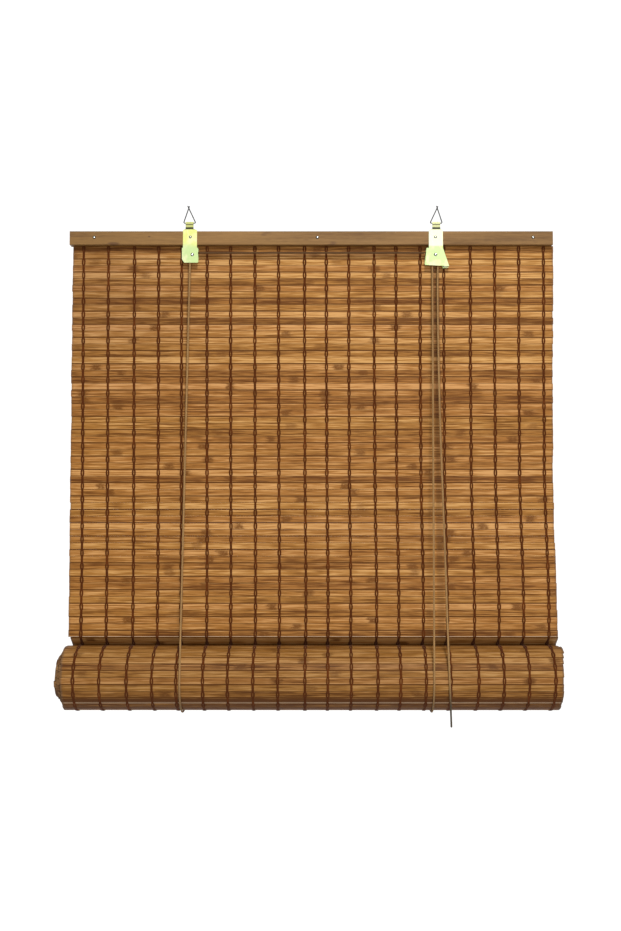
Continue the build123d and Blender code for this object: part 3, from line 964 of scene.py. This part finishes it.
def zinc_finish():
    """Yellow zinc plating, whose film shifts from yellow to green and nearly white, with a painted
    reflection on the right bracket's upper plate and painted shade at the necks.
    """
    f = Finish("yellow_zinc", {"Metallic": 0.3})
    place = f.coordinates()
    x, _, z = f.split(place)
    film = f.noise(f.stretch(place, (34, 40, 30)), detail=2.0, rough=0.45, distort=0.6)
    film = f.plus(film, f.ramp(z, -0.042, -0.078, -0.12, 0.12))
    drift = f.noise(f.stretch(place, (60, 60, 46)), detail=2.0, distort=0.4)
    brush = f.noise(f.stretch(place, (900, 900, 90)), detail=2.0)
    body = f.mix(f.ramp(film, 0.34, 0.62), (0.72, 0.74, 0.22), (0.52, 0.67, 0.29))
    body = f.mix(f.ramp(drift, 0.46, 0.66, 0.0, 0.7), body, (0.80, 0.78, 0.46))
    body = f.mix(f.ramp(brush, 0.25, 0.75, 0.0, 0.10), body, (0.45, 0.45, 0.16))
    # a painted reflection makes the right bracket's upper plate nearly white, and both necks are olive
    painted_reflection = f.times(f.ramp(x, 0.10, 0.15), f.ramp(z, -0.0640, -0.0610, 0.0, 0.65))
    body = f.mix(painted_reflection, body, (0.84, 0.86, 0.70))
    body = f.mix(f.ramp(z, -0.0360, -0.0345, 0.0, 0.7), body, (0.36, 0.36, 0.10))
    # painted shade in the neck's bend and under the rolled eye
    body = f.mix(f.band(z, -0.0352, -0.0340, -0.0318, -0.0308), body, (0.016, 0.018, 0.006))
    eye = f.band(z, -0.0279, -0.0272, -0.0262, -0.0256)
    f.colour(f.mix(f.times(eye, 0.9), body, (0.055, 0.058, 0.020)))
    f.rough(f.ramp(brush, 0.3, 0.7, 0.36, 0.44))
    f.bump(brush, 0.05, 0.0001)
    return f.material


def steel_finish(name, colour, smoothest, roughest, head=None):
    """Bright steel with marks and wear. head gives the Y of a head's foot, painted dark as shade, and
    of its bright top.
    """
    f = Finish(name, {"Metallic": 1.0})
    place = f.coordinates()
    wear = f.noise(place, scale=160.0, detail=3.0, rough=0.6)
    marks = f.noise(f.stretch(place, (1400, 1400, 400)), detail=2.0)
    body = f.mix(f.ramp(wear, 0.45, 0.75, 0.0, 0.6), colour, tuple(c * 0.55 for c in colour))
    if head:
        # the head's foot is painted dark and not metallic: painted shade around its bright top
        top = f.ramp(f.split(place)[1], *head)
        f.put(top, f.shader.inputs["Metallic"])
        body = f.mix(top, (0.045, 0.040, 0.028), body)
    f.colour(body)
    f.rough(f.ramp(wear, 0.3, 0.7, smoothest, roughest))
    f.bump(marks, 0.15, 0.0001)
    return f.material


def plastic_finish():
    """The pulleys' moulded plastic."""
    f = Finish("pulley_plastic", {"Roughness": 0.45})
    place = f.coordinates()
    dust = f.noise(place, scale=300.0, detail=3.0)
    f.colour(f.mix(f.ramp(dust, 0.4, 0.7), (0.62, 0.60, 0.54), (0.48, 0.45, 0.38)))
    f.bump(dust, 0.15, 0.0001)
    return f.material


def floor_finish():
    """A matt pale floor that glows white towards the wall."""
    f = Finish("pale_floor", {"Roughness": 0.9, "Emission Color": (1, 1, 1, 1)})
    glow = f.ramp(f.split(f.coordinates())[1], 0.5, 1.1)
    f.colour(f.mix(glow, (0.8, 0.8, 0.8), (0.1, 0.1, 0.1)))
    f.put(glow, f.shader.inputs["Emission Strength"])
    return f.material


def dress(node, material):
    """Gives a CAD node's object a finish."""
    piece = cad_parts[node]
    for place in piece.material_slots:
        place.material = material
    if not piece.material_slots:
        piece.data.materials.append(material)


def nodes_named(start):
    """The frame's nodes whose names start in this way, in order."""
    return sorted(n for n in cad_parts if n.startswith(start))


# Operators
class BLIND_OT_stage(bpy.types.Operator):
    """Makes the camera, the pale floor and the soft lights"""

    bl_idname = "blind.stage"
    bl_label = "Stage"

    def execute(self, context):
        stage = context.scene.blind_stage
        camera = bpy.data.cameras.new("camera")
        camera.lens = stage.lens
        camera.sensor_width = 36.0
        camera.clip_end = 50.0
        view = bpy.data.objects.new("camera", camera)
        view.location = (stage.camera_right, -stage.camera_back, stage.camera_height)
        view.rotation_euler = (math.radians(90) + stage.camera_pitch, 0, 0)
        context.collection.objects.link(view)
        context.scene.camera = view
        mesh_object("floor", floor_and_wall(stage), floor_finish())
        world = bpy.data.worlds.new("studio")
        world.use_nodes = True
        even = world.node_tree.nodes["Background"]
        even.inputs["Color"].default_value = (1, 1, 1, 1)
        even.inputs["Strength"].default_value = stage.room_light
        context.scene.world = world
        area_light("key", (0.35, -3.0, 2.7), (0, 0, -0.35), 0.5, 145.0)
        area_light("fill", (0.5, -2.7, -0.4), (0, 0, -0.4), 1.3, 30.0)
        context.scene.view_settings.view_transform = "Standard"
        return {"FINISHED"}


class BLIND_OT_cords(bpy.types.Operator):
    """Makes the hanging pull cord and the taut lift cord with its stopper knot"""

    bl_idname = "blind.cords"
    bl_label = "Cords"

    def execute(self, context):
        cord = context.scene.blind_cord
        darker_below = cord_finish("pull_cord_braid", cord, 0.92)
        finish = cord_finish("lift_cord_braid", cord, 0.35)
        radius = cord.diameter / 2
        path = spline_points("pull_line", PULL_CORD_ROUTE)
        pull = cord_tube("pull_cord_braid", path, radius, 14, darker_below)
        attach(pull, "blind")
        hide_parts("pull_cord")
        path = spline_points("lift_line", LIFT_CORD_ROUTE)
        lift = cord_tube("lift_cord_braid", path, radius, 12, finish)
        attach(lift, "blind")
        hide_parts("lift_cord")
        loops = [Vector(LIFT_CORD_ROUTE[-1]) + Vector(turn) for turn in KNOT_TURNS]
        knot = cord_tube("stopper_knot", spline_points("knot_line", loops), 0.0011, 8, finish)
        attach(knot, "blind")
        return {"FINISHED"}


class BLIND_OT_slats(bpy.types.Operator):
    """Makes the flat screen's slats"""

    bl_idname = "blind.slats"
    bl_label = "Slats"

    def execute(self, context):
        slats = context.scene.blind_slats
        finish = bamboo_finish("stained_bamboo", context.scene.blind_finish, 1.0, CORD_SHADOWS)
        template = slat_template(slats)
        maker = SlatMaker(slats, template, 11)
        corners = flat_corners(slats)
        pairs = nodes_named("slat_pair_")
        in_rail = 2
        grouped = 4
        for first in range(0, slats.flat, grouped):
            last = min(first + grouped, slats.flat)
            bm, layers = maker.start()
            for k in range(first, last):
                height = corners[k][1]
                left = slats.left + maker.random.gauss(0, slats.wander)
                right = slats.left + slats.width + maker.random.gauss(0, slats.wander)
                right += looked_up(RIGHT_EDGE, height)
                if k < in_rail:
                    left = slats.left
                    right = slats.left + slats.width
                # painted shade on the last slats above the fold
                painted_shading = 0.12 * max(0, k - slats.flat + 4) ** 1.3
                # a painted highlight along the last flat slat's rim
                painted_highlight = 1.0 if k == slats.flat - 1 else 0.0
                ends = (corners[k], corners[k + 1], left, right)
                maker.add(bm, layers, *ends, painted_shading, painted_highlight)
            piece = mesh_object(f"bamboo_slats_{first + 1:02d}_{last:02d}", bm, finish)
            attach(piece, "blind")
            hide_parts(*pairs[first // 2 : (last + 1) // 2])
        bpy.data.meshes.remove(template)
        return {"FINISHED"}


class BLIND_OT_roll(bpy.types.Operator):
    """Makes the rolled slats, turn by turn"""

    bl_idname = "blind.roll"
    bl_label = "Roll"

    def execute(self, context):
        slats = context.scene.blind_slats
        roll = context.scene.blind_roll
        finish = bamboo_finish("rolled_bamboo", context.scene.blind_finish, 0.74, ())
        template = slat_template(slats)
        maker = SlatMaker(slats, template, 29)
        corners = roll_corners(slats, roll)
        axis = roll_axis(slats, roll)
        starts = (0, 3, 11, 19, 27, 35, 60, 90, roll.slats)
        for number, (first, last) in enumerate(zip(starts, starts[1:]), 1):
            bm, layers = maker.start()
            for k in range(first, last):
                middle = [(a + b) / 2 for a, b in zip(corners[k], corners[k + 1])]
                share = (roll.rim - math.dist(middle, axis)) / (roll.rim - roll.core)
                out = roll.bulge * min(1.0, max(0.0, share))
                more = upper_overhang(axis, middle)
                left = roll.left - out - roll.overhang_left * more + maker.random.gauss(0, slats.wander)
                right = roll.left - out + roll.length + maker.random.gauss(0, slats.wander)
                right += roll.overhang_right * more**1.5
                # painted shade on the roll's lower front, and painted highlights on slats where it
                # turns under
                low = axis[1] - middle[1] if middle[0] < axis[0] else 0.0
                painted_shading = 0.5 * min(1.0, max(0.0, low / 0.030))
                painted_highlight = 0.8 if 0.022 < low < 0.040 else 0.0
                if k < roll.fold:
                    left += roll.fold_shift
                    right += roll.fold_shift
                    # painted light on the slats going into the fold
                    painted_shading = -0.4
                ends = (corners[k], corners[k + 1], left, right)
                maker.add(bm, layers, *ends, painted_shading, painted_highlight)
            piece = mesh_object(f"rolled_slats_{number}", bm, finish)
            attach(piece, "blind")
            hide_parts("bamboo_roll")
        bpy.data.meshes.remove(template)
        return {"FINISHED"}


class BLIND_OT_yarn(bpy.types.Operator):
    """Makes the rows of yarn that tie the slats together"""

    bl_idname = "blind.yarn"
    bl_label = "Yarn"

    def execute(self, context):
        slats = context.scene.blind_slats
        roll = context.scene.blind_roll
        yarn = context.scene.blind_yarn
        finish = yarn_finish(yarn)
        rows = [yarn.first + i * yarn.pitch + d / 1000 for i, d in enumerate(ROW_DRIFT)]
        corners = flat_corners(slats) + roll_corners(slats, roll)[1:]
        fine = strand_template(yarn, 5, 6)
        plain = strand_template(yarn, 2, 4)
        outer = slats.flat + roll.fine
        end = len(corners) - 1
        pieces = (
            ("front_yarn", fine, 0, slats.flat, 1, 3),
            ("back_yarn", fine, 1, slats.flat + 1, -1, 5),
            ("roll_outer_yarn", fine, slats.flat + 2, outer, -1, 7),
            ("roll_inner_yarn", plain, slats.flat + 1, end, 1, 9),
            ("roll_core_yarn", plain, outer + 1, end, -1, 13),
        )
        for name, template, first, last, side, seed in pieces:
            piece = weave(
                name, finish, template, corners, rows, first, last, side, seed, slats, yarn
            )
            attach(piece, "blind")
            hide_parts("warp_yarns")
        bpy.data.meshes.remove(fine)
        bpy.data.meshes.remove(plain)
        return {"FINISHED"}


class BLIND_OT_rail(bpy.types.Operator):
    """Finishes the head rail and the bottom bar"""

    bl_idname = "blind.rail"
    bl_label = "Rail"

    def execute(self, context):
        finish = rail_finish(context.scene.blind_finish)
        for node in ("front_rail_slat", "rear_rail_slat", "bottom_bar"):
            dress(node, finish)
        return {"FINISHED"}


class BLIND_OT_brackets(bpy.types.Operator):
    """Makes the plated brackets, with the soft edges of pressed sheet"""

    bl_idname = "blind.brackets"
    bl_label = "Brackets"

    def execute(self, context):
        finish = zinc_finish()
        for node in ("left_bracket", "right_bracket"):
            # a copy of the sheet, merged and with its flat faces whole
            bm = bmesh.new()
            bm.from_mesh(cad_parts[node].data)
            bmesh.ops.remove_doubles(bm, verts=bm.verts, dist=0.000002)
            bmesh.ops.dissolve_limit(
                bm,
                angle_limit=math.radians(0.5),
                verts=bm.verts,
                edges=bm.edges,
                use_dissolve_boundaries=False,
            )
            piece = mesh_object(node + "_plate", bm, finish, 30.0)
            edge = piece.modifiers.new("edges", "BEVEL")
            edge.width = 0.0002
            edge.segments = 2
            edge.limit_method = "ANGLE"
            edge.angle_limit = math.radians(50)
            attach(piece, "blind")
            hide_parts(node)
        return {"FINISHED"}


class BLIND_OT_fittings(bpy.types.Operator):
    """Finishes the nails, pins, rings, eyes, pulleys and the lock roller"""

    bl_idname = "blind.fittings"
    bl_label = "Fittings"

    def execute(self, context):
        colour = (0.86, 0.86, 0.80)
        flat = steel_finish("rail_nail_steel", colour, 0.15, 0.3, (-0.0020, -0.0026))
        high = steel_finish("bright_steel", colour, 0.15, 0.3, (-0.0028, -0.0033))
        wire = steel_finish("ring_wire", (0.11, 0.11, 0.105), 0.3, 0.5)
        dress("rail_nails", flat)
        for side in ("left", "right"):
            dress(f"{side}_bracket_nail", high)
            dress(f"{side}_pulley_pin", high)
            dress(f"{side}_hanging_ring", wire)
            dress(f"{side}_rear_eye", wire)
        dress("lock_roller", steel_finish("roller_steel", (0.7, 0.7, 0.66), 0.15, 0.3))
        plastic = plastic_finish()
        dress("left_pulley", plastic)
        dress("right_pulley", plastic)
        return {"FINISHED"}


class BLIND_PT_panel(bpy.types.Panel):
    """Lists the blind's pieces"""

    bl_idname = "BLIND_PT_panel"
    bl_label = "Bamboo blind"
    bl_space_type = "VIEW_3D"
    bl_region_type = "UI"
    bl_category = "Blind"

    def draw(self, context):
        for operator in OPERATORS:
            self.layout.operator(operator.bl_idname)
        for name in SETTINGS:
            group = getattr(context.scene, name)
            box = self.layout.box()
            for key in group.bl_rna.properties.keys():
                if key not in ("rna_type", "name"):
                    box.prop(group, key)


OPERATORS = (
    BLIND_OT_stage,
    BLIND_OT_cords,
    BLIND_OT_slats,
    BLIND_OT_roll,
    BLIND_OT_yarn,
    BLIND_OT_rail,
    BLIND_OT_brackets,
    BLIND_OT_fittings,
)
SETTINGS = {
    "blind_slats": SlatSettings,
    "blind_roll": RollSettings,
    "blind_yarn": YarnSettings,
    "blind_cord": CordSettings,
    "blind_finish": FinishSettings,
    "blind_stage": StageSettings,
}


def register():
    for group in (*SETTINGS.values(), *OPERATORS, BLIND_PT_panel):
        bpy.utils.register_class(group)
    for name, group in SETTINGS.items():
        setattr(bpy.types.Scene, name, PointerProperty(type=group))


def unregister():
    for name in SETTINGS:
        delattr(bpy.types.Scene, name)
    for group in (BLIND_PT_panel, *reversed(OPERATORS), *reversed(tuple(SETTINGS.values()))):
        bpy.utils.unregister_class(group)


def main():
    register()
    bpy.ops.blind.stage()
    bpy.ops.blind.cords()
    bpy.ops.blind.slats()
    bpy.ops.blind.roll()
    bpy.ops.blind.yarn()
    bpy.ops.blind.rail()
    bpy.ops.blind.brackets()
    bpy.ops.blind.fittings()
    bpy.context.view_layer.update()


if __name__ == "__main__":
    main()
